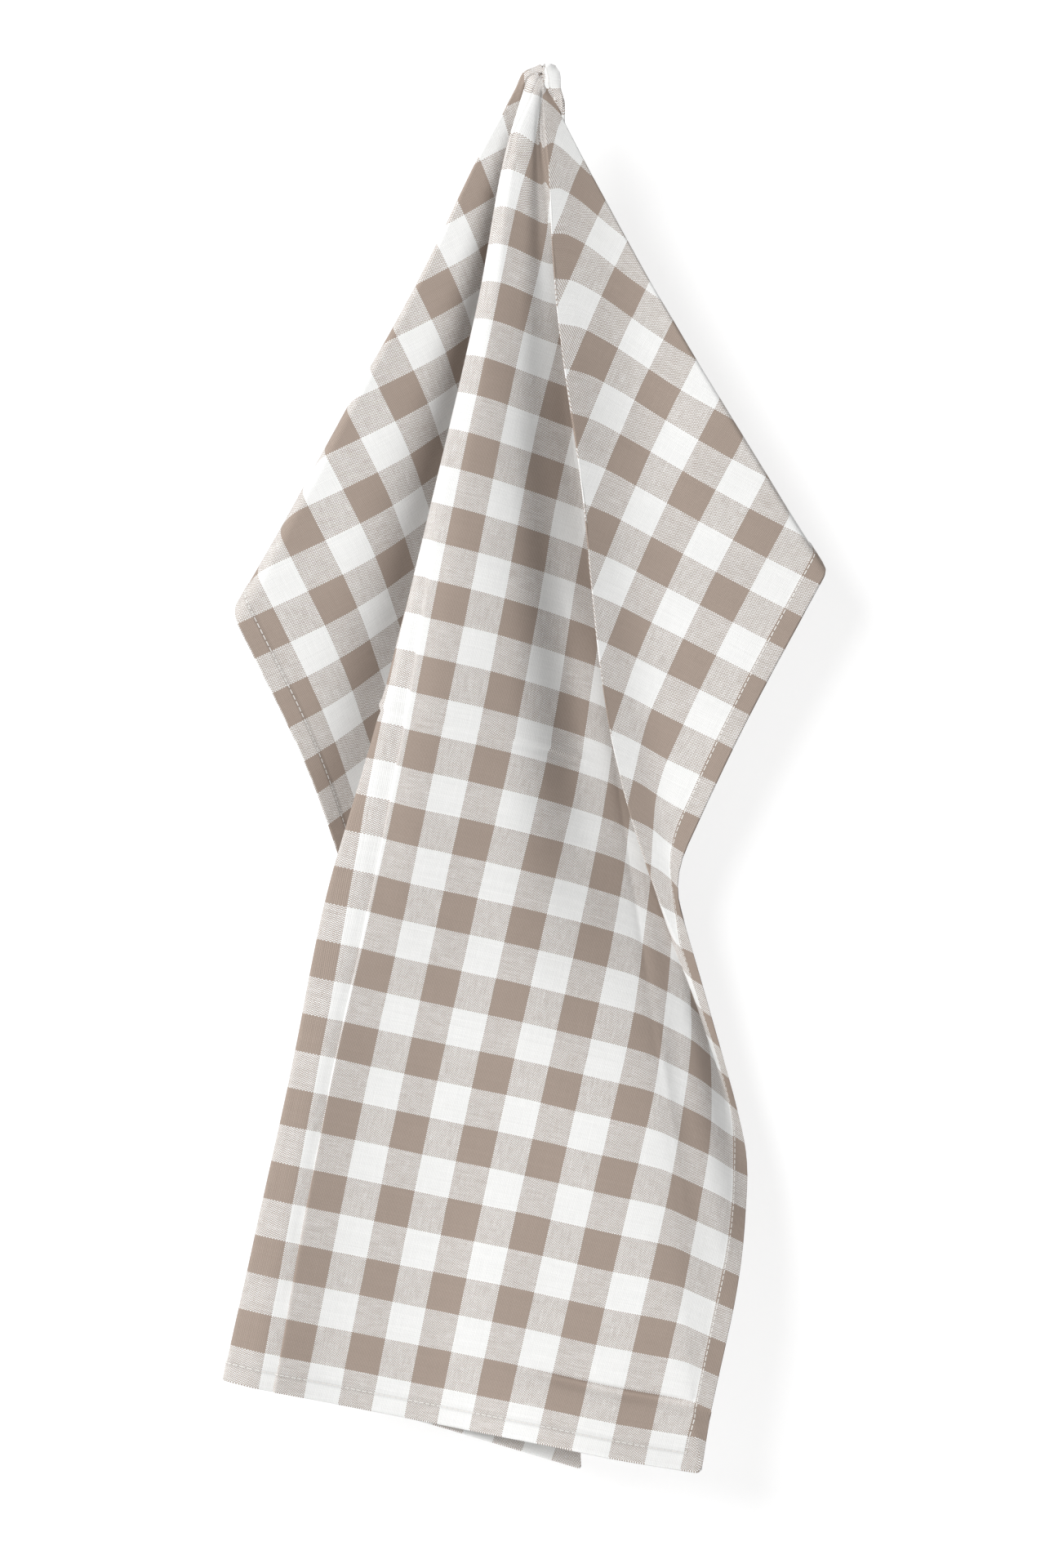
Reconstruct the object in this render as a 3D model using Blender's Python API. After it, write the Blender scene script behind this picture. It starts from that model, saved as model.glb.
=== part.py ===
"""A checked cotton tea towel, hanging from a pinch just below the middle of its top hem.

The towel is one rectangle of cloth. It was pressed in four, so a crease runs down its middle, and it was
then hung up by a point of that crease. The cloth falls from the pinch in long folds. FOLD_LINES has a row
for each of them, in the order in which they follow each other around the pinch, and between two rows the
cloth runs straight from fold to fold.

Units are metres. +X is the towel's right as seen from the front, +Z is up, and the front looks along -Y.
The origin is the top of the knot of cloth that the towel hangs by.
"""

import math
from collections import namedtuple

import bpy

# ---- The cloth, laid flat -------------------------------------------------------------------------------
# Places on the cloth are in checks: across from the pressed middle crease, and down from the top hem.
CHECK = 0.019
LEFT, RIGHT, TOP, BOTTOM = -13.5, 13.0, 0.0, 36.5  # the hems
PINCH_DOWN = 0.65  # the point that the towel hangs by
CLOTH_THICKNESS = 0.0014

# ---- The hanging cloth ----------------------------------------------------------------------------------
# A fold line runs straight from the pinch to the place on a hem that its row starts with. Its lean from plumb,
# in degrees towards +X, and its depth, in mm behind the front of the towel, are given at these distances down
# the cloth from the pinch, in metres, and then, as the last number of each, at the hem:
STATIONS = (0.03, 0.10, 0.20, 0.33, 0.43, 0.52)
# crown is the bearing at which the line leaves the knot, in degrees around it from the front towards +X.
# bend is how much cloth on either side of the fold is rounded at the hem, in checks.
# drawn is how far the line is drawn up, in mm, close to the knot and at the hem. Below zero it has stretched.
FoldLine = namedtuple("FoldLine", "name across down crown bend drawn lean depth")
FOLD_LINES = (
    FoldLine("top left corner", LEFT, TOP, -164, 0.2, (0, 0), (8, 4, 5, 6), (18, 32, 52, 62)),
    FoldLine("left wing, back", LEFT, 9.7, -135, 0.34, (0, 0), (-34, -29, -29, -29.2), (12, 20, 31, 38)),
    FoldLine("left wing, front", LEFT, 10.4, -126, 0.34, (0, -1), (-34, -28.8, -28.6, -28.6), (8, 15, 23, 29)),
    FoldLine("left wing, shaded", LEFT, 15.5, -114, 1.5, (0, -3), (-24, -17.2, -16.4, -16.3), (8, 15, 28, 42)),
    FoldLine("bottom left corner", LEFT, BOTTOM, -107, 0.2, (0, 18), (-6, 1, 3, 4, 3.5, 3, 1.9), (11, 21, 36, 45, 48, 46, 36)),
    FoldLine("back layer, middle", -7.0, BOTTOM, -92, 2.0, (0, 10), (-12, -6, -5, -5, -5, -5.2, -6.2), (7, 13, 20, 24, 27, 27, 24)),
    FoldLine("left edge", -1.1, BOTTOM, -80, 0.3, (0, 0), (-20, -14, -13.2, -13.3, -13.9, -13.5, -13.2), (3, 7, 11, 13, 15, 15, 14)),
    FoldLine("middle crease", 0.0, BOTTOM, -70, 0.3, (0, -1), (-18, -13.5, -12.9, -12.5, -11.9, -12.1, -11.6), (0, 3, 5, 6, 8, 8, 8)),
    FoldLine("front, crest", 2.2, BOTTOM, -61, 1.0, (0, -1), (-14, -10.3, -9.6, -9.2, -9, -9, -8.8), (-1, 0, 0, 0, 0, 0, 2)),
    FoldLine("front, shoulder", 5.0, BOTTOM, -52, 1.2, (-2, 1), (-8, -6.5, -5.7, -5, -5, -5, -4.8), (-1, 2, 5, 8, 8, 6, 6)),
    FoldLine("front, slope", 8.0, BOTTOM, -43, 1.2, (-3, 4), (-3, -2.2, -1.8, -0.6, -0.6, -0.6, -0.7), (0, 5, 13, 19, 18, 16, 14)),
    FoldLine("front, lower slope", 10.5, BOTTOM, -35, 1.0, (-4, 5), (1, 1.2, 1.4, 2.9, 2.9, 2.9, 3), (2, 8, 19, 27, 26, 22, 16)),
    FoldLine("bottom right corner", RIGHT, BOTTOM, -27, 0.1, (-4, 8), (4, 4.4, 4.7, 5.7, 6.1, 6.4, 6.6), (3, 10, 25, 34, 33, 28, 18)),
    FoldLine("right hem, low", RIGHT, 30.5, -20, 1.5, (-2, -1), (6, 7, 7.9, 8, 8.4, 9.1, 9.5), (4.5, 13, 30, 41, 42, 38, 31)),
    FoldLine("right valley", RIGHT, 27.0, -13, 0.8, (-2, -5), (9, 9.5, 10.3, 10.6, 9.6, 10.2, 10.9), (5.5, 15, 33, 46, 45, 46, 46)),
    FoldLine("right ridge, low", RIGHT, 24.5, -6, 0.8, (0, -5), (6.5, 7.5, 8.2, 8.7, 8.6, 10.7), (2.2, 10, 25, 35, 39, 43)),
    FoldLine("right ridge", RIGHT, 21.2, 2, 0.5, (2, -5), (4.5, 5.6, 6.2, 6.6, 9, 10.3), (0, 6, 18, 26, 36, 39)),
    FoldLine("right wing, lower", RIGHT, 18.3, 15, 0.8, (5, -0.5), (9, 9.4, 9.5, 9.7, 9.6), (-0.5, 5.5, 16, 26, 32)),
    FoldLine("right wing, middle", RIGHT, 14.0, 45, 1.5, (6.5, 3.5), (18, 17.4, 17.4, 17.4), (0, 6, 15, 22)),
    FoldLine("right wing, front", RIGHT, 9.2, 60, 0.38, (4.5, 1), (27, 27.9, 29.2, 30), (3, 8, 16, 22)),
    FoldLine("right wing, back", RIGHT, 8.4, 70, 0.38, (4.5, 1), (27, 27.9, 29.3, 30.2), (8, 14, 24, 31)),
    FoldLine("right wing, behind", RIGHT, 4.5, 80, 1.0, (2, 0), (14, 11, 11, 11), (12, 21, 38, 47)),
    FoldLine("top right corner", RIGHT, TOP, 92, 0.2, (0, 0), (4, -2, -3, -3), (15, 25, 42, 50)),
    FoldLine("top hem, right", 5.0, TOP, 106, 0.4, (0, 0), (12, 3), (18, 30)),
    FoldLine("top hem, right of the knot", 2.6, TOP, 120, 0.3, (0, 0), (25, 16), (15.5, 21)),
    FoldLine("top hem, at the knot", 1.2, TOP, 134, 0.3, (0, 0), (34,), (15,)),
    FoldLine("top hem, on the knot", 0.5, TOP, 144, 0.2, (0, 0), (42,), (14,)),
    FoldLine("top hem, middle", 0.0, TOP, 156, 0.2, (0, 0), (42,), (15,)),
    FoldLine("top hem, behind the knot", -0.8, TOP, 170, 0.2, (0, 0), (24,), (19,)),
    FoldLine("top hem, left", -4.0, TOP, 184, 0.3, (0, 0), (18, 12), (21, 34)),
)

# ---- The knot that the towel hangs by -------------------------------------------------------------------
KNOT_RADIUS = 0.0092
FOLDS_MEET = (-0.0043, -0.006)  # where the fold lines aim, in X and Y, from the middle of the knot
KNOT_REACH = (0.006, 0.024)  # between these distances from the pinch the round knot opens into the folds

# ---- How finely the solid is divided --------------------------------------------------------------------
BEND_STEPS = 3
STRAIGHT_STEPS = 1
DOWN_STEPS = 24
DOWN_POWER = 1.6  # above 1, the steps down the cloth are shorter near the knot


def read(values, length, distance):
    """A row's value at a distance from the pinch, on a smooth curve through its stations and its hem."""
    stops = STATIONS[: len(values) - 1] + (length,)
    if distance <= stops[0] or len(stops) == 1:
        return values[0]
    if distance >= stops[-1]:
        return values[-1]

    def slope(i):
        low, high = max(i - 1, 0), min(i + 1, len(stops) - 1)
        return (values[high] - values[low]) / (stops[high] - stops[low])

    i = max(k for k in range(len(stops) - 1) if stops[k] <= distance)
    span = stops[i + 1] - stops[i]
    t = (distance - stops[i]) / span
    return (
        values[i] * (1 + 2 * t) * (1 - t) ** 2
        + values[i + 1] * t * t * (3 - 2 * t)
        + slope(i) * span * t * (1 - t) ** 2
        - slope(i + 1) * span * t * t * (1 - t)
    )


def smooth_step(low, high, value):
    t = min(max((value - low) / (high - low), 0.0), 1.0)
    return t * t * (3 - 2 * t)


def on_knot(bearing, distance):
    """A place on the round knot, at a distance from the pinch over its dome and then down its side."""
    quarter = KNOT_RADIUS * math.pi / 2
    over = min(distance, quarter) / KNOT_RADIUS
    out = KNOT_RADIUS * math.sin(over)
    fall = KNOT_RADIUS * (1 - math.cos(over)) + max(distance - quarter, 0.0)
    turn = math.radians(bearing)
    return (out * math.sin(turn), -out * math.cos(turn), -fall)


def on_fold(fold, length, share):
    distance = length * share
    lean = math.radians(read(fold.lean, length, distance))
    depth = read(fold.depth, length, distance) / 1000
    at_knot, at_hem = fold.drawn
    hung = distance - (at_knot + (at_hem - at_knot) * share) / 1000
    return (FOLDS_MEET[0] + hung * math.sin(lean), FOLDS_MEET[1] + depth, -hung * math.cos(lean))


def fold_point(fold, share):
    """(across, down, x, y, z): the flat place and the hanging place at a share of a fold line's length."""
    length = CHECK * math.hypot(fold.across, fold.down - PINCH_DOWN)
    opened = smooth_step(*KNOT_REACH, length * share)
    knot = on_knot(fold.crown, length * share)
    hung = on_fold(fold, length, share)
    place = between(knot, hung, opened)
    return (fold.across * share, PINCH_DOWN + (fold.down - PINCH_DOWN) * share) + place


def between(p, q, t):
    return tuple(a + (b - a) * t for a, b in zip(p, q))


def apart(p, q):
    """The flat distance between two points, in checks."""
    return math.hypot(p[0] - q[0], p[1] - q[1])


def section(share, bend_steps, straight_steps):
    """The closed row of points around the pinch at a share of the way to the hem, with every fold rounded."""
    corners = [fold_point(fold, share) for fold in FOLD_LINES]
    row = []
    for i, fold in enumerate(FOLD_LINES):
        corner = corners[i]
        after = corners[(i + 1) % len(corners)]
        into = between(corner, corners[i - 1], fold.bend * share / apart(corner, corners[i - 1]))
        out = between(corner, after, fold.bend * share / apart(corner, after))
        for k in range(bend_steps):
            t = k / bend_steps
            row.append(between(between(into, corner, t), between(corner, out, t), t))
        upcoming = FOLD_LINES[(i + 1) % len(corners)]
        following = between(after, corner, upcoming.bend * share / apart(corner, after))
        for k in range(straight_steps):
            row.append(between(out, following, k / straight_steps))
    return row


def shares(steps, power):
    """The sections' shares of the way from the pinch to the hem, without the pinch itself."""
    return [(k / steps) ** power for k in range(1, steps + 1)]


def minus(p, q):
    return tuple(a - b for a, b in zip(p, q))


def cross(p, q):
    return (
        p[1] * q[2] - p[2] * q[1],
        p[2] * q[0] - p[0] * q[2],
        p[0] * q[1] - p[1] * q[0],
    )


def unit(p):
    size = math.sqrt(sum(a * a for a in p)) or 1.0
    return tuple(a / size for a in p)


def facing(rows):
    """The direction that the face of the cloth looks in at every point of the rows."""
    found = []
    for j, row in enumerate(rows):
        inner = rows[j - 1] if j else row
        outer = rows[j + 1] if j + 1 < len(rows) else row
        count = len(row)
        found.append(
            [
                unit(cross(minus(row[(i + 1) % count], row[i - 1]), minus(outer[i], inner[i])))
                for i in range(count)
            ]
        )
    return found


def make_cloth():
    """The towel as one closed sheet: its face, its back, and the narrow rim around its hems."""
    rows = [[p[2:] for p in section(s, BEND_STEPS, STRAIGHT_STEPS)] for s in shares(DOWN_STEPS, DOWN_POWER)]
    normals = facing(rows)
    count = len(rows[0])
    points = []
    for side in (0.5, -0.5):
        points.append((0.0, 0.0, side * CLOTH_THICKNESS))
        for row, looks in zip(rows, normals):
            for p, n in zip(row, looks):
                points.append(tuple(a + b * side * CLOTH_THICKNESS for a, b in zip(p, n)))
    back = len(points) // 2

    def at(side, j, i):
        return side + 1 + j * count + i % count

    faces = []
    for i in range(count):
        faces.append((0, at(0, 0, i + 1), at(0, 0, i)))
        faces.append((back, at(back, 0, i), at(back, 0, i + 1)))
        for j in range(len(rows) - 1):
            faces.append((at(0, j, i), at(0, j, i + 1), at(0, j + 1, i + 1), at(0, j + 1, i)))
            faces.append((at(back, j, i), at(back, j + 1, i), at(back, j + 1, i + 1), at(back, j, i + 1)))
        last = len(rows) - 1
        faces.append((at(0, last, i), at(0, last, i + 1), at(back, last, i + 1), at(back, last, i)))
    mesh = bpy.data.meshes.new("towel_cloth")
    mesh.from_pydata(points, [], faces)
    mesh.shade_smooth()
    return bpy.data.objects.new("towel_cloth", mesh)


def cotton():
    material = bpy.data.materials.new("checked_cotton")
    material.use_nodes = True
    shader = material.node_tree.nodes["Principled BSDF"]
    shader.inputs["Base Color"].default_value = (0.56, 0.51, 0.47, 1.0)
    shader.inputs["Roughness"].default_value = 0.95
    shader.inputs["Metallic"].default_value = 0.0
    return material


def main():
    for obj in list(bpy.data.objects):
        bpy.data.objects.remove(obj)
    cloth = make_cloth()
    cloth.data.materials.append(cotton())
    bpy.context.scene.collection.objects.link(cloth)


if __name__ == "__main__":
    main()
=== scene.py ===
"""The looks of a checked cotton tea towel that hangs from a pinch just below the middle of its top hem.

The cloth is one thin closed sheet. Its folds fan out in straight lines from the pinch to the hems, as in the
CAD solid, and FOLD_LINES has a row for each of them. This script divides them far more finely, rounds the
soft ones, turns the hems, presses the creases in and weaves and sews the cloth in its material.

Units are metres. +X is the towel's right as seen from the front, +Z is up, and the front looks along -Y.
Places on the flat cloth are in checks: across from the pressed middle crease, and down from the top hem.
"""

import math
from collections import namedtuple

import bpy
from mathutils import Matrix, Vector, noise


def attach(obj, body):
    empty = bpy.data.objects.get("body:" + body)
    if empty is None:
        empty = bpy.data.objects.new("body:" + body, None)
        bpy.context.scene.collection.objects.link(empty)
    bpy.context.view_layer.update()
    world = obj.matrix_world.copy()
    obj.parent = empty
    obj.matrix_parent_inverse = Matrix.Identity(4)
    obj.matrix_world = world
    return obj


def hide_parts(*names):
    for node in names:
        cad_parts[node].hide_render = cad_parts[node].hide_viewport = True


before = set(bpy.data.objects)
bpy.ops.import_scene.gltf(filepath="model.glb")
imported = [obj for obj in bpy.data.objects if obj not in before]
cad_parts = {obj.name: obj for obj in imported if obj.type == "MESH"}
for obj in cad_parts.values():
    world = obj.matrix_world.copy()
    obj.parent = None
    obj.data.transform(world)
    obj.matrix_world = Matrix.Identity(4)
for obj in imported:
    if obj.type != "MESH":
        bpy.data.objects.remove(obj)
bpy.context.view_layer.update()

# ---- The cloth, laid flat -------------------------------------------------------------------------------
CHECK = 0.019
LEFT, RIGHT, TOP, BOTTOM = -13.5, 13.0, 0.0, 36.5  # the hems
PINCH_DOWN = 0.65  # the point that the towel hangs by
CLOTH_THICKNESS = 0.0007
HEM_THICKNESS = 0.0017
HEM_STEP = (0.0087, 0.0099)  # from the edge, to where the turned hem is at its full thickness and where it ends
RIM = 0.4  # how far the hem's edge is rounded out, in hem thicknesses

# ---- The hanging cloth ----------------------------------------------------------------------------------
# A fold line runs straight from the pinch to the place on a hem that its row starts with. Its lean from plumb,
# in degrees towards +X, its depth, in mm behind FOLDS_MEET, and the mm that it is drawn up, are given at these
# distances down the cloth from the pinch, in metres, and then, as the last number of each, at the hem:
STATIONS = (0.03, 0.10, 0.20, 0.33, 0.43, 0.52)
# bend is how much cloth on either side of the fold is rounded at the hem, in checks.
FoldLine = namedtuple("FoldLine", "name across down bend drawn lean depth")
FOLD_LINES = (
    FoldLine("top left corner", LEFT, TOP, 0.6, (0, 0), (8, 4, 5, 6), (18, 32, 52, 62)),
    FoldLine("left wing, back", LEFT, 9.7, 0.3, (6, 3, 0.5, 0), (-34, -29, -29, -29.2), (12, 20, 31, 38)),
    FoldLine(
        "left wing, front", LEFT, 10.4, 0.3, (6, 3, 0.5, -1),
        (-34, -28.8, -28.6, -28.6), (7, 13, 20, 26),
    ),
    FoldLine(
        "left wing, shaded", LEFT, 14.6, 1.7, (6, 3, 1.5, -2),
        (-24, -18.8, -18.2, -18.1), (8, 14, 23, 31),
    ),
    FoldLine("left wing, behind", LEFT, 19.5, 2.0, (4, 4, 4, 2), (-14, -12.2, -12, -11.8), (9, 25, 41, 53)),
    FoldLine(
        "bottom left corner", LEFT, BOTTOM, 1.5, (0, 1, 3, 8, 12, 15, 18),
        (-6, 1, 3, 4, 3.5, 3, 1.9), (11, 21, 38, 48, 46, 38, 20),
    ),
    FoldLine(
        "back layer, middle", -7.0, BOTTOM, 2.0, (0, 1, 2, 4, 6, 8, 10),
        (-12, -6, -5, -5, -5, -5.2, -6.2), (7, 14, 22, 25, 26, 23, 14),
    ),
    FoldLine(
        "left edge", -1.5, BOTTOM, 0.35, (0, 0),
        (-20, -14.1, -13.4, -13.7, -14.4, -13.9, -13.6), (3, 7, 10.5, 7, 1.8, 0.8, 1.2),
    ),
    FoldLine(
        "crease, left rim", -0.65, BOTTOM, 0.25, (0, 0, 0, 0, 0, 0, -1),
        (-19, -13.9, -13.1, -12.75, -12.22, -12.13, -12.02), (1, 4, 5, 3, 0, -1, -1),
    ),
    FoldLine(
        "middle crease", 0.0, BOTTOM, 0.08, (0, 0, 0, 0, 0, 0, -1),
        (-18, -13.5, -12.8, -11.2, -11.0, -11.25, -11.0), (0, 3, 3.2, 2.6, 1.7, 1.3, 1.5),
    ),
    FoldLine(
        "crease, right rim", 0.65, BOTTOM, 0.12, (1, 1, 0, -1, 0, 0, -1),
        (-16.5, -12.6, -11.9, -11.15, -11.15, -11.36, -11.13), (0, 2, 2.4, 0.8, -0.5, -1, -1.5),
    ),
    FoldLine(
        "front, crest", 2.2, BOTTOM, 0.7, (1, 1.5, 0, -1, -0.5, 0, -0.5),
        (-14, -10.3, -9.6, -9.2, -9, -9, -8.8), (-1, 0, 0.8, 0, 0.5, 3.2, 5.5),
    ),
    FoldLine(
        "front, shoulder", 5.0, BOTTOM, 1.4, (0, 1.5, -0.5, -0.5, 0, 0.5, 1),
        (-8, -6.5, -5.7, -5, -5, -5, -4.8), (-1, 1.5, 3, 3.5, 5, 7, 8.5),
    ),
    FoldLine(
        "front, slope", 8.0, BOTTOM, 1.15, (-2, 0, -1, -1, 0.6, 2, 4),
        (-1.8, -2.2, -1.8, -0.6, -0.6, -0.6, -0.7), (0, 3.5, 9, 9, 9, 8, 6),
    ),
    FoldLine(
        "front, lower slope", 10.5, BOTTOM, 1.0, (-2, -1, -1, -2, 0.5, 2.2, 4.5),
        (0.5, 1.2, 1.4, 2.9, 2.9, 2.9, 3), (1.5, 8.5, 20, 30, 18.5, 10, 6),
    ),
    FoldLine(
        "bottom right corner", RIGHT, BOTTOM, 1.1, (-2, -1, -1.5, -2.2, 0, 2, 8),
        (2.2, 4.4, 4.7, 5.7, 6.1, 6.5, 6.6), (2, 10.5, 29, 34, 29, 14, 7),
    ),
    FoldLine(
        "right hem, crease", RIGHT, 34.3, 0.3, (-1, 0, -1.7, -2.8, -1, 0.5, 4.5),
        (2.7, 5.3, 5.8, 6.5, 6.9, 7.4, 7.6), (2.2, 10.8, 31, 36, 32, 17, 10.5),
    ),
    FoldLine(
        "right hem, low", RIGHT, 30.5, 1.5, (2, 1, -2, -4, -3, -2.5, -1.5),
        (3.7, 7, 7.9, 8, 8.6, 9.3, 9.7), (2.4, 11, 34, 39, 37, 23, 18),
    ),
    FoldLine(
        "right valley", RIGHT, 27.0, 0.9, (-2, -2, -3, -4, -5, -5, -5),
        (5.2, 9.5, 10.3, 10.6, 9.8, 10.5, 11.1), (2.8, 11, 36, 44, 43, 37, 34),
    ),
    FoldLine(
        "right ridge, low", RIGHT, 24.5, 0.9, (0, 0, -1, -3, -6, -5),
        (6.8, 7.5, 8.2, 8.7, 8.8, 10.9), (3, 9, 20, 31, 36, 38),
    ),
    FoldLine(
        "right ridge", RIGHT, 21.2, 0.08, (2, 2.5, 1, -2, -5, -5),
        (9.6, 5.4, 6.3, 6.4, 8.8, 10.3), (3, 7, 12, 22, 31, 34),
    ),
    FoldLine(
        "right wing, lower", RIGHT, 18.3, 1.0, (5, 6, 3.5, 1, -0.5),
        (13.2, 10.6, 10.3, 9.7, 9.6), (3.2, 9, 17, 27, 30),
    ),
    FoldLine(
        "right wing, middle", RIGHT, 14.0, 1.9, (6.5, 6.5, 4.5, 3.5),
        (19, 18.2, 17.6, 17.4), (3.8, 12, 22, 25),
    ),
    FoldLine(
        "right wing, front", RIGHT, 9.2, 0.18, (4.5, 2.5, 0.8, 0.5),
        (27, 27.9, 29.2, 30), (5.5, 15, 19, 24),
    ),
    FoldLine(
        "right wing, back", RIGHT, 8.4, 0.25, (4.5, 2.5, 0.8, 0.5),
        (27, 27.9, 29.3, 30.2), (9.5, 20, 26, 32),
    ),
    FoldLine("right wing, behind", RIGHT, 4.5, 1.5, (2, 0), (14, 11, 11, 11), (12, 25, 38, 47)),
    FoldLine("top right corner", RIGHT, TOP, 0.8, (0, 0), (4, -2, -3, -3), (15, 25, 42, 50)),
    FoldLine("top hem, right", 5.0, TOP, 0.5, (0, 0), (12, 3), (18, 30)),
    FoldLine("top hem, right of the knot", 2.6, TOP, 0.3, (0, 0), (25, 16), (15.5, 21)),
    FoldLine("top hem, at the knot", 1.2, TOP, 0.3, (0,), (0,), (0,)),
    FoldLine("top hem, on the knot", 0.5, TOP, 0.2, (0,), (0,), (0,)),
    FoldLine("top hem, middle", 0.0, TOP, 0.2, (0,), (0,), (0,)),
    FoldLine("top hem, behind the knot", -0.8, TOP, 0.2, (0,), (0,), (0,)),
    FoldLine("top hem, left", -4.0, TOP, 0.5, (0, 0), (18, 12), (21, 34)),
)
FOLDS_MEET = (-0.0043, -0.006)  # where the fold lines aim, in X and Y

# ---- The knot that the towel hangs by -------------------------------------------------------------------
# Each fold line leaves the pinch over two places on the knot, which its row gives as X, Z and depth in mm, the
# first NEAR down the cloth from the pinch and the second FAR down it, or at the hem where that is nearer. It
# has joined the fold line itself at JOINED.
PINCH = (-0.2, -5.0, 0.0)
NEAR, FAR = 0.010, 0.020
JOINED, BEYOND = 0.036, 0.050  # BEYOND gives the curve from the knot its direction where it joins the fold line
OverKnot = namedtuple("OverKnot", "name near far")
KNOT = (
    OverKnot("top left corner", (-1.5, 0.0, 3), (-4.5, -6.0, 11)),
    OverKnot("left wing, back", (-9.0, -3.0, 4), (-14.0, -12.0, 8)),
    OverKnot("left wing, front", (-8.5, -3.5, 3), (-14.0, -13.0, 6)),
    OverKnot("left wing, shaded", (-7.5, -5.0, 2), (-12.0, -14.5, 6)),
    OverKnot("left wing, behind", (-7.0, -5.5, 2.5), (-10.5, -15.0, 7)),
    OverKnot("bottom left corner", (-7.0, -6.0, 2.5), (-9.5, -15.5, 7)),
    OverKnot("back layer, middle", (-6.5, -7.0, 2), (-9.5, -16.0, 5)),
    OverKnot("left edge", (-7.0, -6.5, 1), (-10.5, -15.5, 2.5)),
    OverKnot("crease, left rim", (-5.0, -8.0, 0.3), (-9.0, -16.5, 1)),
    OverKnot("middle crease", (-3.5, -8.5, 0), (-6.5, -17.0, 0)),
    OverKnot("crease, right rim", (-3.0, -9.0, 0), (-6.0, -17.0, 0)),
    OverKnot("front, crest", (-2.5, -9.5, 0), (-5.5, -17.5, -0.3)),
    OverKnot("front, shoulder", (-2.0, -9.5, 0), (-4.5, -17.5, -0.3)),
    OverKnot("front, slope", (-2.0, -10.0, 0), (-3.5, -17.5, 0)),
    OverKnot("front, lower slope", (-1.5, -10.5, 0), (-2.5, -17.5, 0.5)),
    OverKnot("bottom right corner", (-1.0, -10.5, 0), (-2.0, -17.5, 1)),
    OverKnot("right hem, crease", (-0.9, -10.5, 0), (-1.8, -17.3, 1.2)),
    OverKnot("right hem, low", (-0.8, -10.5, 0), (-1.5, -17.0, 1.6)),
    OverKnot("right valley", (-0.5, -11.0, 0), (-1.0, -17.0, 2)),
    OverKnot("right ridge, low", (0.0, -11.0, 0), (-0.5, -16.5, 2.2)),
    OverKnot("right ridge", (0.0, -11.5, 0), (0.0, -16.5, 2.2)),
    OverKnot("right wing, lower", (0.2, -11.5, 0), (1.0, -16.5, 2.4)),
    OverKnot("right wing, middle", (0.5, -11.5, 0.2), (2.5, -16.5, 2.8)),
    OverKnot("right wing, front", (1.0, -11.5, 0.6), (5.0, -16.5, 4)),
    OverKnot("right wing, back", (1.5, -11.5, 1.2), (6.0, -16.0, 6)),
    OverKnot("right wing, behind", (1.5, -12.0, 1.6), (7.0, -15.5, 8)),
    OverKnot("top right corner", (1.5, -12.0, 1.5), (7.5, -15.5, 8)),
    OverKnot("top hem, right", (1.5, -12.0, 1), (8.5, -16.0, 5)),
    OverKnot("top hem, right of the knot", (2.0, -12.0, 0.4), (9.5, -16.0, 2)),
    OverKnot("top hem, at the knot", (3.5, -11.5, 0), (10.5, -18.0, 0.5)),
    OverKnot("top hem, on the knot", (6.0, -9.5, 0), (8.5, -12.5, 0.5)),
    OverKnot("top hem, middle", (6.2, -4.2, 0), (8.0, -4.0, 0.5)),
    OverKnot("top hem, behind the knot", (2.6, 0.3, 0.8), (5.2, 0.0, 3.5)),
    OverKnot("top hem, left", (0.6, 0.4, 1.8), (0.8, -2.5, 10)),
)

# The bend at the very corners of the towel, and the shares of the way to the hem between which it gets there:
CORNER_BEND = 0.1
CORNER_SHARPENS = (0.86, 0.99)

# ---- Creases and waves in the cloth ---------------------------------------------------------------------
# The crease that the towel was pressed into across its middle: the height in metres of the cloth above it at
# these places down the towel, in checks.
PRESSED_DOWN = (17.78, 18.16, 18.27, 18.5)
PRESSED_UP = (0.0, 0.0011, -0.0005, 0.0)
PRESSED_ENDS = (4.6, 6.2)  # where it fades on either side, in checks across
# The crease above the bottom hem is a groove on the right, and the cloth below it is swung forward there.
GROOVE_DOWN = (34.5, 34.64, 34.7, 35.0)
GROOVE_UP = (0.0, -0.0026, -0.0026, 0.0)
GROOVE_STARTS = (7.2, 9.0)  # checks across, from nothing to its full depth
GROOVE_ENDS = (11.7, 12.8)  # and back to nothing
SWING_DOWN = 34.7
SWING_FROM, SWING_TO = 5.5, 10.0  # checks across, from its start to its full angle
SWING = math.radians(16)
# The soft waves of the whole cloth: their lengths, in checks, and their heights, in metres.
Wave = namedtuple("Wave", "length height")
WAVES = (Wave(3.1, 0.0005), Wave(1.3, 0.00014))
WAVES_START = (0.05, 0.25)  # shares of the rows from the pinch, from still cloth to full waves

# ---- How finely the cloth is divided --------------------------------------------------------------------
BEND_STEPS = 5  # around a fold
COLUMN_WIDTH = 0.0125  # of the straight cloth between two folds, at the hem
FINE_WIDTH = 0.002  # where the crease above the bottom hem meets the right hem
FINE_AFTER = ("bottom right corner", "right hem, crease")
# A fold with less than SHARP in its bend gets a column as wide as NARROW on either side, so that it shades crisply.
SHARP = 0.6
NARROW = 0.06
ROOMY = 0.24  # the least straight cloth between two folds that has room for such columns
# Each row gives the share of the way to the hem where a band of the cloth starts, and its number of steps.
Band = namedtuple("Band", "starts steps")
BANDS = (
    Band(0.0, 22),
    Band(0.12, 40),
    Band(0.482, 8),
    Band(0.498, 30),
    Band(0.935, 3),
    Band(0.9435, 9),
    Band(0.954, 3),
    Band(0.9605, 5),
    Band(0.978, 12),
)


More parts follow.
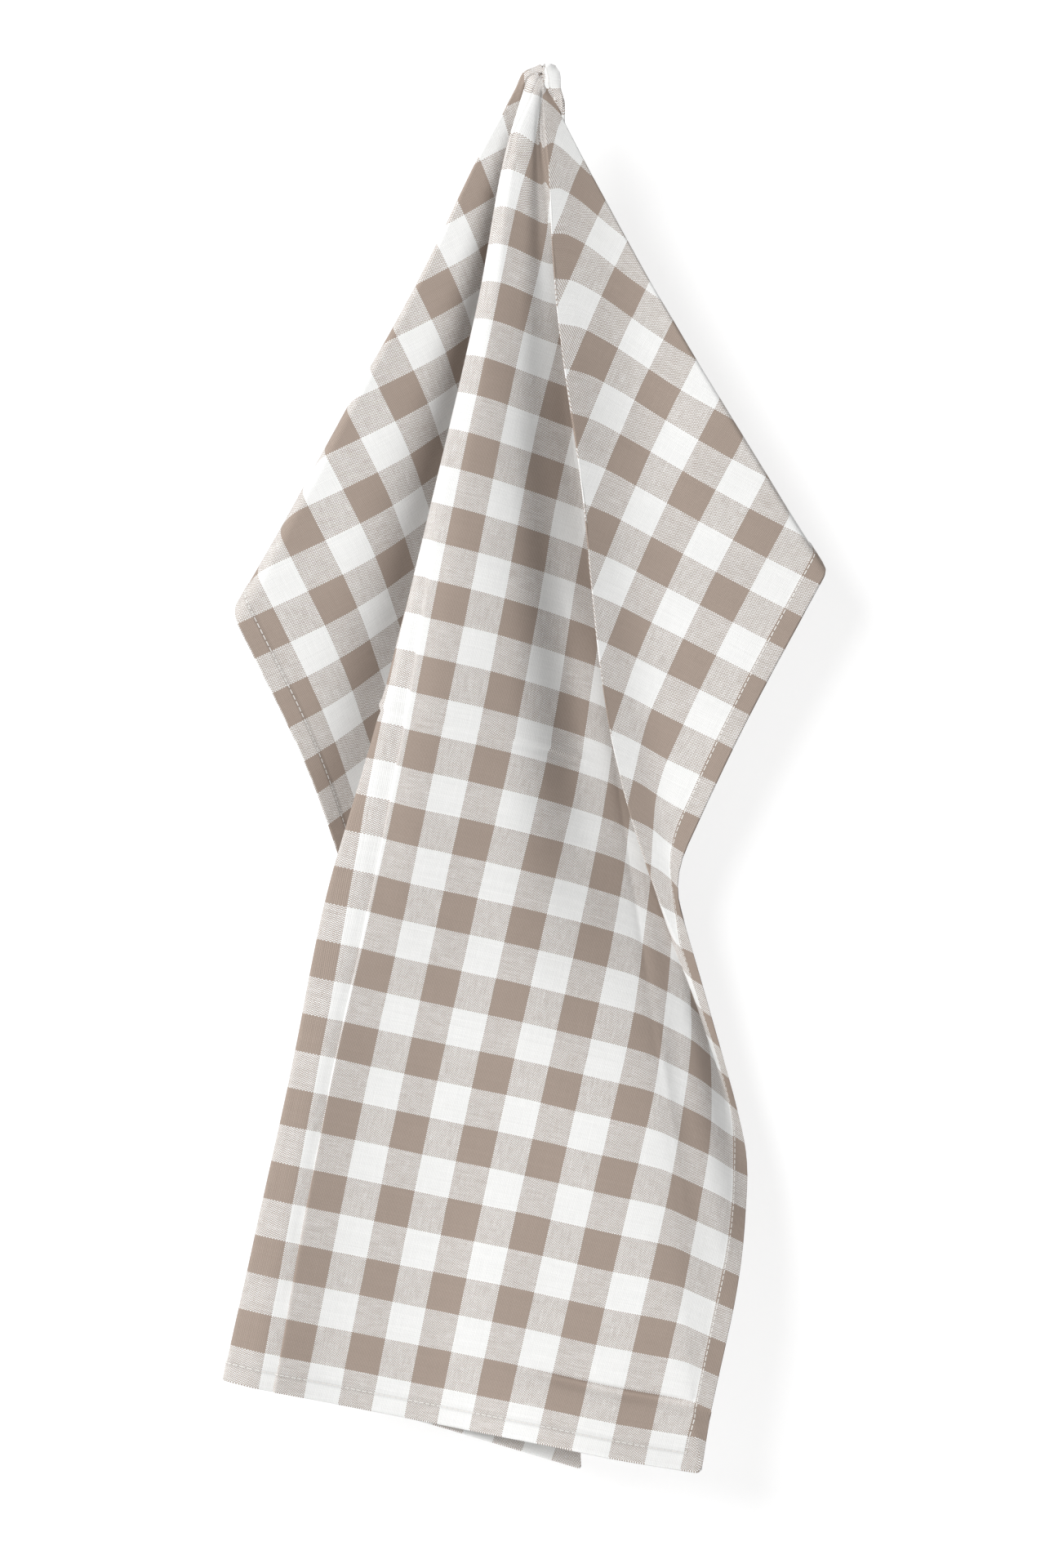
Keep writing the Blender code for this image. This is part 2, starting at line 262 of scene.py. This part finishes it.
def curve(stops, values, distance):
    """The value at a distance on a smooth curve through the values at the stops."""
    if distance <= stops[0] or len(stops) == 1:
        return values[0]
    if distance >= stops[-1]:
        return values[-1]

    def slope(i):
        low, high = max(i - 1, 0), min(i + 1, len(stops) - 1)
        return (values[high] - values[low]) / (stops[high] - stops[low])

    i = max(k for k in range(len(stops) - 1) if stops[k] <= distance)
    span = stops[i + 1] - stops[i]
    t = (distance - stops[i]) / span
    return (
        values[i] * (1 + 2 * t) * (1 - t) ** 2
        + values[i + 1] * t * t * (3 - 2 * t)
        + slope(i) * span * t * (1 - t) ** 2
        - slope(i + 1) * span * t * t * (1 - t)
    )


def read(values, length, distance):
    """A row's value at a distance from the pinch, on a smooth curve through its stations and its hem."""
    return curve(STATIONS[: len(values) - 1] + (length,), values, distance)


def smooth_step(low, high, value):
    """0 below low and 1 above high, with a smooth rise from one to the other."""
    t = min(max((value - low) / (high - low), 0.0), 1.0)
    return t * t * (3 - 2 * t)


def at_knot(place):
    """A place on the knot as (x, y, z) in metres."""
    x, z, depth = place
    return (x / 1000, FOLDS_MEET[1] + depth / 1000, z / 1000)


def on_fold(fold, length, distance):
    """A place on a fold line as (x, y, z), below the knot."""
    lean = math.radians(read(fold.lean, length, distance))
    depth = read(fold.depth, length, distance) / 1000
    hung = distance - read(fold.drawn, length, distance) / 1000
    return (FOLDS_MEET[0] + hung * math.sin(lean), FOLDS_MEET[1] + depth, -hung * math.cos(lean))


def fold_point(fold, knot, share):
    """(across, down, x, y, z): the flat place and the hanging place at a share of a fold line's length."""
    length = CHECK * math.hypot(fold.across, fold.down - PINCH_DOWN)
    distance = length * share
    spot = (fold.across * share, PINCH_DOWN + (fold.down - PINCH_DOWN) * share)
    stops = [0.0, NEAR, min(FAR, length)]
    places = [at_knot(PINCH), at_knot(knot.near), at_knot(knot.far)]
    if length > JOINED:
        if distance >= BEYOND:
            return spot + on_fold(fold, length, distance)
        stops += [JOINED, BEYOND]
        places += [on_fold(fold, length, JOINED), on_fold(fold, length, BEYOND)]
    if distance > JOINED:
        return spot + on_fold(fold, length, distance)
    return spot + tuple(curve(stops, values, distance) for values in zip(*places))


def between(p, q, t):
    """The point at a share t of the way from p to q."""
    return tuple(a + (b - a) * t for a, b in zip(p, q))


def apart(p, q):
    """The flat distance between two points, in checks."""
    return math.hypot(p[0] - q[0], p[1] - q[1])


def rounded(fold, share):
    """How much cloth on either side of a fold is rounded, in checks. It comes to a point at a corner."""
    corner = fold.across in (LEFT, RIGHT) and fold.down in (TOP, BOTTOM)
    sharpened = smooth_step(*CORNER_SHARPENS, share) if corner else 0.0
    return (fold.bend + (CORNER_BEND - fold.bend) * sharpened) * share


def straight(i):
    """How much straight cloth is between a fold and the next one at the hem, in checks."""
    fold, after = FOLD_LINES[i], FOLD_LINES[(i + 1) % len(FOLD_LINES)]
    return apart((fold.across, fold.down), (after.across, after.down)) - fold.bend - after.bend


def beside(corner, other, fold, share, further=0.0):
    """Where the rounding of a fold ends on the side of another one, or further along."""
    return between(corner, other, (rounded(fold, share) + further * share) / apart(corner, other))


def section(share):
    """The closed row of points around the pinch at a share of the way to the hem, with every fold rounded."""
    corners = [fold_point(fold, knot, share) for fold, knot in zip(FOLD_LINES, KNOT)]
    row = []
    for i, fold in enumerate(FOLD_LINES):
        corner = corners[i]
        after = corners[(i + 1) % len(corners)]
        upcoming = FOLD_LINES[(i + 1) % len(corners)]
        into = beside(corner, corners[i - 1], fold, share)
        out = beside(corner, after, fold, share)
        for k in range(BEND_STEPS):
            t = k / BEND_STEPS
            row.append(between(between(into, corner, t), between(corner, out, t), t))
        roomy = straight(i) > ROOMY
        start, end = out, beside(after, corner, upcoming, share)
        if roomy and fold.bend < SHARP:
            row.append(out)
            start = beside(corner, after, fold, share, NARROW)
        if roomy and upcoming.bend < SHARP:
            end = beside(after, corner, upcoming, share, NARROW)
        width = FINE_WIDTH if fold.name in FINE_AFTER else COLUMN_WIDTH
        steps = max(1, round(straight(i) * CHECK / width))
        for k in range(steps):
            row.append(between(start, end, k / steps))
        if roomy and upcoming.bend < SHARP:
            row.append(end)
    return row


def shares():
    """The rows' shares of the way from the pinch to the hem, without the pinch itself."""
    found = []
    for i, band in enumerate(BANDS):
        ends = BANDS[i + 1].starts if i + 1 < len(BANDS) else 1.0
        found += [band.starts + (ends - band.starts) * (k + 1) / band.steps for k in range(band.steps)]
    return found


def either_side(rows, j):
    """The rows just inside and outside a row, which is its own neighbour at the pinch and at the hem."""
    return rows[max(j - 1, 0)], rows[min(j + 1, len(rows) - 1)]


def facing(rows):
    """The direction that the back of the cloth looks in at every point of the rows."""
    found = []
    for j, row in enumerate(rows):
        inner, outer = either_side(rows, j)
        count = len(row)
        found.append(
            [(row[(i + 1) % count] - row[i - 1]).cross(outer[i] - inner[i]).normalized() for i in range(count)]
        )
    return found


def from_hem(across, down):
    """The flat distance from the nearest hem, in metres."""
    return CHECK * min(across - LEFT, RIGHT - across, down - TOP, BOTTOM - down)


def half_thickness(across, down):
    """Half the cloth's thickness, which grows where the hem is turned over."""
    turned = 1 - smooth_step(*HEM_STEP, from_hem(across, down))
    return (CLOTH_THICKNESS + (HEM_THICKNESS - CLOTH_THICKNESS) * turned) / 2


def relief(places, heights, down):
    """The height at a place down the cloth, eased from each height to the next."""
    if not places[0] < down < places[-1]:
        return 0.0
    i = max(k for k in range(len(places) - 1) if places[k] <= down)
    return heights[i] + (heights[i + 1] - heights[i]) * smooth_step(places[i], places[i + 1], down)


def pressed(across, down):
    """How far the creases across the towel lift the cloth."""
    middle = relief(PRESSED_DOWN, PRESSED_UP, down) * (1 - smooth_step(*PRESSED_ENDS, abs(across)))
    strength = smooth_step(*GROOVE_STARTS, across) * (1 - smooth_step(*GROOVE_ENDS, across))
    return middle + relief(GROOVE_DOWN, GROOVE_UP, down) * strength


def waved(across, down, share):
    """How far the soft waves lift the cloth at a share of the rows. There are none at the knot."""
    height = sum(w.height * noise.noise(Vector((across / w.length, down / w.length, w.length))) for w in WAVES)
    return height * smooth_step(*WAVES_START, share)


def creased(rows, normals, flat):
    """The rows with their creases and waves."""
    found = []
    for j, row in enumerate(rows):
        inner, outer = either_side(rows, j)
        share = (j + 1) / len(rows)
        new = []
        for i, (p, n, (across, down)) in enumerate(zip(row, normals[j], flat[j])):
            forward = -n
            moved = p + forward * (pressed(across, down) + waved(across, down, share))
            below = max(down - SWING_DOWN, 0.0) * CHECK
            if below and across > SWING_FROM:
                angle = SWING * smooth_step(SWING_FROM, SWING_TO, across)
                downwards = (outer[i] - inner[i]).normalized()
                moved += forward * below * math.sin(angle) + downwards * below * (math.cos(angle) - 1)
            new.append(moved)
        found.append(new)
    return found


def make_cloth():
    """The towel as one closed sheet: its face, its back, and the rounded rim around its hems."""
    sections = [section(share) for share in shares()]
    flat = [[p[:2] for p in row] for row in sections]
    rows = [[Vector(p[2:]) for p in row] for row in sections]
    rows = creased(rows, facing(rows), flat)
    normals = facing(rows)
    count = len(rows[0])
    points, places = [], []

    def add(point, place):
        points.append(point)
        places.append(place)

    for side in (1, -1):
        add(Vector((0.0, 0.0, side * CLOTH_THICKNESS / 2)), (0.0, PINCH_DOWN))
        for row, looks, spots in zip(rows, normals, flat):
            for p, n, spot in zip(row, looks, spots):
                add(p + n * side * half_thickness(*spot), spot)
    back = len(points) // 2
    rim = len(points)
    for inner, p, spot in zip(rows[-2], rows[-1], flat[-1]):
        add(p + (p - inner).normalized() * HEM_THICKNESS * RIM, spot)

    def at(side, j, i):
        """The number of a point on the face or the back."""
        return side + 1 + j * count + i % count

    last = len(rows) - 1
    faces = []
    for i in range(count):
        faces.append((0, at(0, 0, i + 1), at(0, 0, i)))
        faces.append((back, at(back, 0, i), at(back, 0, i + 1)))
        for j in range(last):
            faces.append((at(0, j, i), at(0, j, i + 1), at(0, j + 1, i + 1), at(0, j + 1, i)))
            faces.append((at(back, j, i), at(back, j + 1, i), at(back, j + 1, i + 1), at(back, j, i + 1)))
        following = rim + (i + 1) % count
        faces.append((at(0, last, i), at(0, last, i + 1), following, rim + i))
        faces.append((rim + i, following, at(back, last, i + 1), at(back, last, i)))
    mesh = bpy.data.meshes.new("tea_towel")
    mesh.from_pydata(points, [], faces)
    mesh.shade_smooth()
    cloth = mesh.attributes.new("cloth", "FLOAT_VECTOR", "POINT")
    for item, (across, down) in zip(cloth.data, places):
        item.vector = (across, down, 0.0)
    towel = bpy.data.objects.new("tea_towel", mesh)
    bpy.context.scene.collection.objects.link(towel)
    return towel


# ---- The material ---------------------------------------------------------------------------------------
# A plain weave: every end of the warp, which runs down the towel, passes over and under the picks of the weft in
# turn. Both change between white and taupe at each check.
TAUPE = (0.42, 0.34, 0.287)
WHITE = (0.83, 0.83, 0.82)
SEWING_THREAD = (0.74, 0.72, 0.69)
FIRST_BROWN_ROW = 0.57  # where the first brown band of the weft starts, in checks down from the top hem
ENDS = 30  # of the warp, in a check
PICKS = 36  # of the weft, in a check
CRIMP = 0.5  # how far a yarn rises and falls
ROUNDNESS = 2.2  # how fast a yarn falls away to its sides
TWIST = 0.42  # how far the lie of the picks follows the twist of their yarn
WANDER = 0.7  # of the yarns from their straight courses, in yarns
WANDER_SCALE = 0.9  # of its noise, to a check
HOLLOW_SHADE = (0.11, 0.52)  # painted shade in the hollows between the yarns: how much darker they are, in white cloth and in taupe
RIB_SHADE = 0.13  # painted shade between the ends: how much darker the cloth is there
YARN_TONE = 0.11  # how much the yarns differ
YARN_STEP = 0.83  # from one yarn to the next in the noise that gives their tones
WARP_PLACE, WEFT_PLACE = 7.3, 4.1  # in that noise
SLUBS = 0.16  # how much a yarn's tone differs along its length
SLUB_ALONG, SLUB_STEP = 0.06, 0.71  # in the noise of the slubs: along a yarn for its own width, and to the next yarn
THICKNESS = 1.3  # how much the yarns differ in thickness, which lets one or the other show more
MOTTLE = 0.05  # how much the cloth differs from place to place
MOTTLE_SCALE = 0.45  # of its noise, to a check
FUZZ_SCALE = 24.0  # the same for the loose fibres
ROUGHNESS = (0.78, 0.94)  # from the smoothest to the fuzziest
RELIEF = 0.00007  # of the weave, in metres
STITCH_IN = 0.0086  # from the edge of a hem to its stitches
STITCH_PITCH = 0.0033
STITCH_WIDTH = 0.0005
STITCH_SHARE = 0.74  # of the pitch that is thread, and the rest is the hole before the next stitch
STITCH_UP = 1.2  # how proud a stitch is, in heights of the weave
SEAM_DOWN = -2.2  # how deep the cloth is pulled in along the stitches, in the same
SEAM_WIDTH = 2.4  # on either side, in widths of a stitch
SEAM_SHADE = -0.16  # painted shade in the seam that the stitches pull in: how much darker it is there


class Nodes:
    """A material's node tree, with a short way to write sums in it."""

    def __init__(self, name):
        self.material = bpy.data.materials.new(name)
        self.material.use_nodes = True
        self.tree = self.material.node_tree
        self.shader = self.tree.nodes["Principled BSDF"]

    def link(self, source, socket):
        """Joins an output to a socket, or sets the socket to a plain value."""
        if hasattr(source, "links"):
            self.tree.links.new(source, socket)
        else:
            socket.default_value = source

    def math(self, operation, *values):
        """The output of a sum of outputs and numbers."""
        node = self.tree.nodes.new("ShaderNodeMath")
        node.operation = operation
        for value, socket in zip(values, node.inputs):
            self.link(value, socket)
        return node.outputs[0]

    def add(self, *values):
        return self.math("ADD", *values)

    def less(self, *values):
        return self.math("SUBTRACT", *values)

    def times(self, *values):
        return self.math("MULTIPLY", *values)

    def odd(self, value):
        """1 for the odd whole numbers and 0 for the even ones."""
        return self.math("FLOORED_MODULO", self.math("FLOOR", value), 2.0)

    def squared(self, value):
        return self.times(value, value)

    def choose(self, share, first, second):
        """The first number where share is 0 and the second where it is 1."""
        return self.math("MULTIPLY_ADD", share, self.less(second, first), first)

    def around_one(self, value, amount):
        """1 give or take half the amount, from a value of 0 to 1."""
        return self.math("MULTIPLY_ADD", self.less(value, 0.5), amount, 1.0)

    def noise(self, x, y, scale, detail=1.0):
        """A smooth noise of 0 to 1."""
        node = self.tree.nodes.new("ShaderNodeTexNoise")
        node.inputs["Scale"].default_value = scale
        node.inputs["Detail"].default_value = detail
        place = self.tree.nodes.new("ShaderNodeCombineXYZ")
        self.link(x, place.inputs["X"])
        self.link(y, place.inputs["Y"])
        self.link(place.outputs[0], node.inputs["Vector"])
        return node.outputs[0]

    def mix(self, share, first, second):
        """The first colour where share is 0 and the second where it is 1."""
        node = self.tree.nodes.new("ShaderNodeMix")
        node.data_type = "RGBA"
        self.link(share, node.inputs["Factor"])
        for value, name in ((first, "A"), (second, "B")):
            socket = next(s for s in node.inputs if s.name == name and s.type == "RGBA")
            self.link(value if hasattr(value, "links") else value + (1.0,), socket)
        return next(s for s in node.outputs if s.type == "RGBA")

    def shaded(self, colour, tone):
        """A colour made darker or lighter by a number."""
        node = self.tree.nodes.new("ShaderNodeVectorMath")
        node.operation = "SCALE"
        self.link(colour, node.inputs[0])
        self.link(tone, node.inputs["Scale"])
        return node.outputs[0]


def woven(nodes, across, down):
    """(brown, tone, height) of the yarn that shows at a place on the cloth. The tone holds painted shade in the
    hollows between the yarns and between the ends.
    """
    wander = nodes.times(nodes.less(nodes.noise(across, down, WANDER_SCALE), 0.5), WANDER)
    warp = nodes.add(nodes.times(nodes.add(across, 0.5), float(ENDS)), wander)
    weft = nodes.add(nodes.times(nodes.less(down, FIRST_BROWN_ROW), float(PICKS)), wander)
    end, pick = nodes.math("FLOOR", warp), nodes.math("FLOOR", weft)
    beside_end = nodes.less(nodes.math("FRACT", warp), 0.5)
    beside_pick = nodes.math("MULTIPLY_ADD", beside_end, TWIST, nodes.less(nodes.math("FRACT", weft), 0.5))
    end_turn = nodes.choose(nodes.odd(warp), CRIMP, -CRIMP)
    pick_turn = nodes.choose(nodes.odd(weft), -CRIMP, CRIMP)
    end_rise = nodes.times(end_turn, nodes.math("SINE", nodes.times(weft, math.pi)))
    pick_rise = nodes.times(pick_turn, nodes.math("SINE", nodes.times(warp, math.pi)))
    end_height = nodes.less(end_rise, nodes.times(nodes.squared(beside_end), ROUNDNESS))
    pick_height = nodes.less(pick_rise, nodes.times(nodes.squared(beside_pick), ROUNDNESS))
    end_slub = nodes.noise(nodes.times(end, SLUB_STEP), nodes.times(weft, SLUB_ALONG), 1.0, 2.0)
    pick_slub = nodes.noise(nodes.times(warp, SLUB_ALONG), nodes.times(pick, SLUB_STEP), 1.0, 2.0)
    thicker = nodes.times(nodes.less(pick_slub, end_slub), THICKNESS)
    shows_pick = nodes.math("GREATER_THAN", nodes.add(pick_height, thicker), end_height)
    height = nodes.math("MAXIMUM", end_height, pick_height)

    end_brown = nodes.odd(nodes.math("DIVIDE", warp, float(ENDS)))
    pick_brown = nodes.less(1.0, nodes.odd(nodes.math("DIVIDE", weft, float(PICKS))))
    brown = nodes.choose(shows_pick, end_brown, pick_brown)

    yarn = nodes.choose(
        shows_pick, nodes.noise(end, WARP_PLACE, YARN_STEP), nodes.noise(WEFT_PLACE, pick, YARN_STEP)
    )
    slub = nodes.choose(shows_pick, end_slub, pick_slub)
    tone = nodes.times(nodes.around_one(yarn, YARN_TONE * 2), nodes.around_one(slub, SLUBS))
    # Painted shade: the hollows between the yarns are made darker.
    depth = nodes.less(height, CRIMP)
    hollow_shade = nodes.math("MULTIPLY_ADD", depth, nodes.choose(brown, *HOLLOW_SHADE), 1.0)
    # Painted shade: the cloth is made darker between its ends.
    rib_shade = nodes.math("MULTIPLY_ADD", nodes.squared(nodes.times(beside_end, 2.0)), -RIB_SHADE, 1.0)
    return brown, nodes.times(nodes.times(tone, hollow_shade), rib_shade), height


def sewn(nodes, across, down):
    """(stitch, seam): where a stitch of the hems shows, and where it pulls the hem down around itself, which the
    material also darkens with painted shade.
    """
    side = nodes.times(nodes.math("MINIMUM", nodes.less(across, LEFT), nodes.less(RIGHT, across)), CHECK)
    end = nodes.times(nodes.math("MINIMUM", nodes.less(down, TOP), nodes.less(BOTTOM, down)), CHECK)
    beside = nodes.math("ABSOLUTE", nodes.less(nodes.math("MINIMUM", side, end), STITCH_IN))
    along = nodes.times(nodes.choose(nodes.math("LESS_THAN", side, end), across, down), CHECK / STITCH_PITCH)
    on_line = nodes.math("LESS_THAN", beside, STITCH_WIDTH / 2)
    stitch = nodes.times(on_line, nodes.math("LESS_THAN", nodes.math("FRACT", along), STITCH_SHARE))
    seam = nodes.less(1.0, nodes.math("MINIMUM", nodes.math("DIVIDE", beside, STITCH_WIDTH * SEAM_WIDTH), 1.0))
    return stitch, seam


def checked_cotton():
    """The cloth's material, which finds its place on the flat towel in the mesh's cloth attribute."""
    nodes = Nodes("checked_cotton")
    place = nodes.tree.nodes.new("ShaderNodeAttribute")
    place.attribute_name = "cloth"
    parts = nodes.tree.nodes.new("ShaderNodeSeparateXYZ")
    nodes.link(place.outputs["Vector"], parts.inputs[0])
    across, down = parts.outputs["X"], parts.outputs["Y"]

    brown, tone, height = woven(nodes, across, down)
    stitch, seam = sewn(nodes, across, down)
    mottle = nodes.around_one(nodes.noise(across, down, MOTTLE_SCALE, 3.0), MOTTLE * 2)
    # Painted shade in the seam that the stitches pull in.
    seam_shade = nodes.math("MULTIPLY_ADD", seam, SEAM_SHADE, 1.0)
    tone = nodes.times(nodes.times(tone, mottle), seam_shade)
    cloth = nodes.shaded(nodes.mix(brown, WHITE, TAUPE), tone)
    nodes.link(nodes.mix(stitch, cloth, SEWING_THREAD), nodes.shader.inputs["Base Color"])

    fuzz = nodes.noise(across, down, FUZZ_SCALE, 2.0)
    nodes.link(nodes.choose(fuzz, *ROUGHNESS), nodes.shader.inputs["Roughness"])
    raised = nodes.add(nodes.add(height, nodes.times(stitch, STITCH_UP)), nodes.times(seam, SEAM_DOWN))
    bump = nodes.tree.nodes.new("ShaderNodeBump")
    bump.inputs["Strength"].default_value = 0.7
    bump.inputs["Distance"].default_value = RELIEF
    nodes.link(nodes.add(raised, fuzz), bump.inputs["Height"])
    nodes.link(bump.outputs["Normal"], nodes.shader.inputs["Normal"])
    nodes.shader.inputs["Specular IOR Level"].default_value = 0.25
    nodes.shader.inputs["Sheen Weight"].default_value = 0.06
    nodes.shader.inputs["Sheen Roughness"].default_value = 0.5
    return nodes.material


# ---- The studio -----------------------------------------------------------------------------------------
PIXELS_PER_METRE = 2424.0  # of the photograph, at the towel
PHOTO_SIZE = (1280, 1920)
KNOT_PIXEL = (655.0, 80.0)  # where FOLDS_MEET shows, at the height of the origin
CAMERA_AWAY = 5.0
SENSOR = 24.0
FLOOR_DOWN = -0.80
WALL_BACK = 0.06  # just behind the towel
WALL_TOP = 2.5
WALL_HALF, FLOOR_HALF, FLOOR_DEEP = 3, 4, 6
WALL_COLOUR, WALL_GLOW = 0.32, 0.75  # so that the lit wall is just white, and shadows on it are pale
FLOOR_COLOUR = 0.9
WORLD = 0.16
KEY_PLACE, KEY_AIM = (-6.7, -8.4, 4.0), (0.0, 0.0, -0.35)  # from the front left, a little above the towel
KEY_SIZE, KEY_POWER = 6.2, 1455.0


def plain(name, grey):
    """A matt material."""
    nodes = Nodes(name)
    nodes.shader.inputs["Base Color"].default_value = (grey, grey, grey, 1.0)
    nodes.shader.inputs["Roughness"].default_value = 0.9
    return nodes.material


def rectangle(half, low, high):
    """The corners of a rectangle that reaches as far to the left as to the right."""
    return ((-half, low), (half, low), (half, high), (-half, high))


def panel(name, corners, material):
    """A flat piece of the studio."""
    mesh = bpy.data.meshes.new(name)
    mesh.from_pydata(corners, [], [tuple(range(len(corners)))])
    mesh.materials.append(material)
    obj = bpy.data.objects.new(name, mesh)
    bpy.context.scene.collection.objects.link(obj)


def one_sided(material):
    """Lets the camera see through the wall from behind."""
    nodes = material.node_tree
    shader = nodes.nodes["Principled BSDF"]
    clear = nodes.nodes.new("ShaderNodeBsdfTransparent")
    mixed = nodes.nodes.new("ShaderNodeMixShader")
    side = nodes.nodes.new("ShaderNodeNewGeometry")
    nodes.links.new(side.outputs["Backfacing"], mixed.inputs[0])
    nodes.links.new(shader.outputs[0], mixed.inputs[1])
    nodes.links.new(clear.outputs[0], mixed.inputs[2])
    nodes.links.new(mixed.outputs[0], nodes.nodes["Material Output"].inputs["Surface"])


def area_light(name, place, aim, size, power):
    """A round light at a place, turned to an aim."""
    light = bpy.data.lights.new(name, "AREA")
    light.shape = "DISK"
    light.size = size
    light.energy = power
    obj = bpy.data.objects.new(name, light)
    obj.location = place
    obj.rotation_euler = (Vector(aim) - Vector(place)).to_track_quat("-Z", "Y").to_euler()
    bpy.context.scene.collection.objects.link(obj)


def make_studio():
    """The wall behind the towel, the floor, the soft key light and the fill of the world."""
    wall = plain("backdrop", WALL_COLOUR)
    shader = wall.node_tree.nodes["Principled BSDF"]
    shader.inputs["Emission Color"].default_value = (1.0, 1.0, 1.0, 1.0)
    shader.inputs["Emission Strength"].default_value = WALL_GLOW
    one_sided(wall)
    panel("backdrop", [(x, WALL_BACK, z) for x, z in rectangle(WALL_HALF, FLOOR_DOWN, WALL_TOP)], wall)
    floor = plain("floor", FLOOR_COLOUR)
    panel("floor", [(x, y, FLOOR_DOWN) for x, y in rectangle(FLOOR_HALF, -FLOOR_DEEP, FLOOR_DEEP)], floor)
    world = bpy.data.worlds.new("studio")
    world.use_nodes = True
    background = world.node_tree.nodes["Background"]
    background.inputs["Color"].default_value = (1.0, 1.0, 1.0, 1.0)
    background.inputs["Strength"].default_value = WORLD
    bpy.context.scene.world = world
    area_light("key", KEY_PLACE, KEY_AIM, KEY_SIZE, KEY_POWER)
    bpy.context.scene.view_settings.view_transform = "Standard"


def make_camera():
    """The camera of the photograph, level with the middle of its frame and far from the towel."""
    data = bpy.data.cameras.new("camera")
    frame_height = PHOTO_SIZE[1] / PIXELS_PER_METRE
    data.sensor_fit = "VERTICAL"
    data.sensor_height = SENSOR
    data.lens = SENSOR * CAMERA_AWAY / frame_height
    camera = bpy.data.objects.new("camera", data)
    right = (PHOTO_SIZE[0] / 2 - KNOT_PIXEL[0]) / PIXELS_PER_METRE + FOLDS_MEET[0]
    up = (KNOT_PIXEL[1] - PHOTO_SIZE[1] / 2) / PIXELS_PER_METRE
    camera.location = (right, -CAMERA_AWAY, up)
    camera.rotation_euler = (math.radians(90), 0.0, 0.0)
    bpy.context.scene.collection.objects.link(camera)
    bpy.context.scene.camera = camera


towel = make_cloth()
towel.data.materials.append(checked_cotton())
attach(towel, "root")
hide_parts("towel_cloth")
make_studio()
make_camera()
